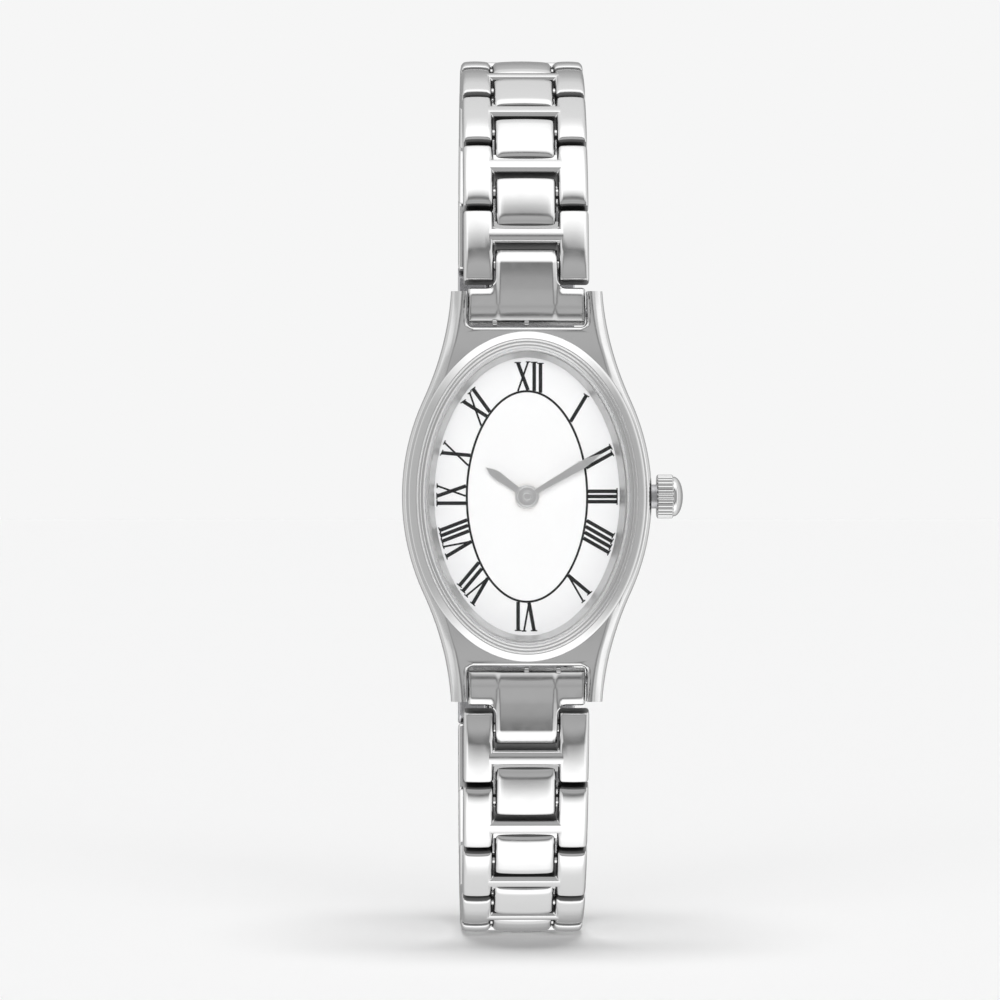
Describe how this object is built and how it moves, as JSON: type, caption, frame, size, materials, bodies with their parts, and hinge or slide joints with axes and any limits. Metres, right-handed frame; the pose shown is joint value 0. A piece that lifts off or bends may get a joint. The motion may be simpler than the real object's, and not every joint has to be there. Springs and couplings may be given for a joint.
{
  "type": "tonneau watch",
  "caption": "Small tonneau-cased quartz wristwatch with Roman numerals, an oval bezel, a closed bracelet of hinged H-shaped steel links and a folding clasp.",
  "frame": {"origin": "centre of the wrist opening, halfway from the case back's outer face to the clasp's inner face", "axes": "+Z to 12 o'clock, +X to 3 o'clock and the crown, and the dial faces -Y"},
  "size_m": [0.0235, 0.0511, 0.076],
  "materials": {
    "case_steel": "polished stainless steel",
    "bezel_steel": "polished stainless steel",
    "link_steel": "polished stainless steel",
    "clasp_steel": "satin stainless steel",
    "crown_steel": "polished stainless steel",
    "brushed_steel": "satin steel",
    "cell_steel": "nickel-plated steel",
    "crystal_glass": "clear sapphire",
    "flange_metal": "matt plated brass",
    "dial_enamel": "white lacquer",
    "hand_metal": "satin nickel",
    "plate_brass": "gilt brass",
    "wheel_brass": "gilt brass",
    "coil_copper": "enamelled copper wire",
    "board_plastic": "solder-masked board",
    "ring_plastic": "moulded acetal",
    "gasket_rubber": "nitrile rubber"
  },
  "bodies": {
    "head": {"case_middle": "case_steel", "bezel": "bezel_steel", "crystal": "crystal_glass", "crystal_gasket": "gasket_rubber", "dial_flange": "flange_metal", "dial": "dial_enamel", "case_back": "brushed_steel", "back_gasket": "gasket_rubber", "movement_ring": "ring_plastic", "main_plate": "plate_brass", "train_bridge": "brushed_steel", "battery": "cell_steel", "battery_clamp": "brushed_steel", "circuit_board": "board_plastic", "motor_coil": "coil_copper", "stator": "brushed_steel", "crown_tube": "brushed_steel", "upper_spring_bar": "brushed_steel", "lower_spring_bar": "brushed_steel"},
    "minute_arbor": {"centre_wheel": "wheel_brass", "minute_hand": "hand_metal"},
    "hour_pipe": {"hour_wheel": "wheel_brass", "hour_hand": "hand_metal"},
    "motion_wheel": {"minute_wheel": "wheel_brass"},
    "train_wheel": {"intermediate_wheel": "wheel_brass"},
    "motor_rotor": {"rotor": "brushed_steel"},
    "setting_slide": {"setting_lever": "brushed_steel"},
    "crown_assembly": {"winding_crown": "crown_steel", "crown_stem": "brushed_steel", "crown_gasket": "gasket_rubber"},
    "upper_end": {"upper_end_link": "link_steel"},
    "upper_1": {"upper_link_1": "link_steel"},
    "upper_2": {"upper_link_2": "link_steel"},
    "upper_3": {"upper_link_3": "link_steel"},
    "upper_4": {"upper_link_4": "link_steel"},
    "upper_5": {"upper_link_5": "link_steel"},
    "upper_6": {"upper_link_6": "link_steel"},
    "upper_7": {"upper_link_7": "link_steel"},
    "upper_8": {"upper_link_8": "link_steel"},
    "upper_9": {"upper_link_9": "link_steel"},
    "lower_end": {"lower_end_link": "link_steel"},
    "lower_1": {"lower_link_1": "link_steel"},
    "lower_2": {"lower_link_2": "link_steel"},
    "lower_3": {"lower_link_3": "link_steel"},
    "lower_4": {"lower_link_4": "link_steel"},
    "lower_5": {"lower_link_5": "link_steel"},
    "lower_6": {"lower_link_6": "link_steel"},
    "lower_7": {"lower_link_7": "link_steel"},
    "lower_8": {"lower_link_8": "link_steel"},
    "lower_9": {"lower_link_9": "link_steel", "clasp_spring_bar": "brushed_steel"},
    "clasp_inner": {"clasp_inner_blade": "clasp_steel", "clasp_end_pin": "clasp_steel", "clasp_lower_hinge_pin": "clasp_steel"},
    "clasp_middle": {"clasp_middle_blade": "clasp_steel"},
    "clasp_outer": {"clasp_cover": "clasp_steel", "clasp_upper_hinge_pin": "clasp_steel"}
  },
  "joints": [
    {"name": "minute_hand_turn", "type": "hinge", "parent": "head", "child": "minute_arbor", "pos_m": [0, -0.02286, 0], "axis": [0, 1, 0], "continuous": true},
    {"name": "hour_hand_turn", "type": "hinge", "parent": "head", "child": "hour_pipe", "pos_m": [0, -0.02286, 0], "axis": [0, 1, 0], "continuous": true},
    {"name": "minute_wheel_turn", "type": "hinge", "parent": "head", "child": "motion_wheel", "pos_m": [-0.0012, -0.02286, 0.00147], "axis": [0, 1, 0], "continuous": true},
    {"name": "intermediate_wheel_turn", "type": "hinge", "parent": "head", "child": "train_wheel", "pos_m": [0.00215, -0.02286, 0.001], "axis": [0, 1, 0], "continuous": true},
    {"name": "rotor_turn", "type": "hinge", "parent": "head", "child": "motor_rotor", "pos_m": [0.00195, -0.02286, -0.0021], "axis": [0, 1, 0], "continuous": true},
    {"name": "crown_pull", "type": "slide", "parent": "head", "child": "setting_slide", "axis": [1, 0, 0], "range_m": [0, 0.0008]},
    {"name": "crown_turn", "type": "hinge", "parent": "setting_slide", "child": "crown_assembly", "pos_m": [0.0104, -0.02321, 0], "axis": [1, 0, 0], "continuous": true},
    {"name": "upper_end_link_hinge", "type": "hinge", "parent": "head", "child": "upper_end", "pos_m": [0, -0.02266, 0.01535], "axis": [1, 0, 0], "range_deg": [0, 25]},
    {"name": "upper_link_1_hinge", "type": "hinge", "parent": "upper_end", "child": "upper_1", "pos_m": [0, -0.02166, 0.01933], "axis": [1, 0, 0], "range_deg": [0, 15]},
    {"name": "upper_link_2_hinge", "type": "hinge", "parent": "upper_1", "child": "upper_2", "pos_m": [0, -0.01916, 0.02543], "axis": [1, 0, 0], "range_deg": [0, 25]},
    {"name": "upper_link_3_hinge", "type": "hinge", "parent": "upper_2", "child": "upper_3", "pos_m": [0, -0.01509, 0.03063], "axis": [1, 0, 0], "range_deg": [0, 25]},
    {"name": "upper_link_4_hinge", "type": "hinge", "parent": "upper_3", "child": "upper_4", "pos_m": [0, -0.00971, 0.03446], "axis": [1, 0, 0], "range_deg": [0, 25]},
    {"name": "upper_link_5_hinge", "type": "hinge", "parent": "upper_4", "child": "upper_5", "pos_m": [0, -0.00345, 0.03655], "axis": [1, 0, 0], "range_deg": [0, 25]},
    {"name": "upper_link_6_hinge", "type": "hinge", "parent": "upper_5", "child": "upper_6", "pos_m": [0, 0.00315, 0.03664], "axis": [1, 0, 0], "range_deg": [0, 25]},
    {"name": "upper_link_7_hinge", "type": "hinge", "parent": "upper_6", "child": "upper_7", "pos_m": [0, 0.00944, 0.03465], "axis": [1, 0, 0], "range_deg": [0, 25]},
    {"name": "upper_link_8_hinge", "type": "hinge", "parent": "upper_7", "child": "upper_8", "pos_m": [0, 0.01476, 0.03074], "axis": [1, 0, 0], "range_deg": [0, 25]},
    {"name": "upper_link_9_hinge", "type": "hinge", "parent": "upper_8", "child": "upper_9", "pos_m": [0, 0.01845, 0.02527], "axis": [1, 0, 0], "range_deg": [0, 25]},
    {"name": "lower_end_link_hinge", "type": "hinge", "parent": "head", "child": "lower_end", "pos_m": [0, -0.02266, -0.01535], "axis": [-1, 0, 0], "range_deg": [0, 25]},
    {"name": "lower_link_1_hinge", "type": "hinge", "parent": "lower_end", "child": "lower_1", "pos_m": [0, -0.02166, -0.01933], "axis": [-1, 0, 0], "range_deg": [0, 15]},
    {"name": "lower_link_2_hinge", "type": "hinge", "parent": "lower_1", "child": "lower_2", "pos_m": [0, -0.01916, -0.02543], "axis": [-1, 0, 0], "range_deg": [0, 25]},
    {"name": "lower_link_3_hinge", "type": "hinge", "parent": "lower_2", "child": "lower_3", "pos_m": [0, -0.01509, -0.03063], "axis": [-1, 0, 0], "range_deg": [0, 25]},
    {"name": "lower_link_4_hinge", "type": "hinge", "parent": "lower_3", "child": "lower_4", "pos_m": [0, -0.00971, -0.03446], "axis": [-1, 0, 0], "range_deg": [0, 25]},
    {"name": "lower_link_5_hinge", "type": "hinge", "parent": "lower_4", "child": "lower_5", "pos_m": [0, -0.00345, -0.03655], "axis": [-1, 0, 0], "range_deg": [0, 25]},
    {"name": "lower_link_6_hinge", "type": "hinge", "parent": "lower_5", "child": "lower_6", "pos_m": [0, 0.00315, -0.03664], "axis": [-1, 0, 0], "range_deg": [0, 25]},
    {"name": "lower_link_7_hinge", "type": "hinge", "parent": "lower_6", "child": "lower_7", "pos_m": [0, 0.00944, -0.03465], "axis": [-1, 0, 0], "range_deg": [0, 25]},
    {"name": "lower_link_8_hinge", "type": "hinge", "parent": "lower_7", "child": "lower_8", "pos_m": [0, 0.01476, -0.03074], "axis": [-1, 0, 0], "range_deg": [0, 25]},
    {"name": "lower_link_9_hinge", "type": "hinge", "parent": "lower_8", "child": "lower_9", "pos_m": [0, 0.01845, -0.02527], "axis": [-1, 0, 0], "range_deg": [0, 25]},
    {"name": "clasp_end_hinge", "type": "hinge", "parent": "upper_9", "child": "clasp_inner", "pos_m": [0, 0.02004, 0.01886], "axis": [1, 0, 0], "range_deg": [0, 18]},
    {"name": "clasp_fold", "type": "hinge", "parent": "clasp_inner", "child": "clasp_middle", "pos_m": [0, 0.02022, -0.01544], "axis": [-1, 0, 0], "range_deg": [0, 145]},
    {"name": "clasp_cover_fold", "type": "hinge", "parent": "clasp_middle", "child": "clasp_outer", "pos_m": [0, 0.02097, 0.01558], "axis": [-1, 0, 0], "range_deg": [-145, 0]}
  ],
  "couplings": [
    {"joint": "hour_hand_turn", "follows": "minute_hand_turn", "ratio": 0.083333},
    {"joint": "minute_wheel_turn", "follows": "minute_hand_turn", "ratio": -0.33333},
    {"joint": "intermediate_wheel_turn", "follows": "minute_hand_turn", "ratio": -9},
    {"joint": "rotor_turn", "follows": "minute_hand_turn", "ratio": 90},
    {"joint": "clasp_cover_fold", "follows": "clasp_fold", "ratio": -1}
  ]
}
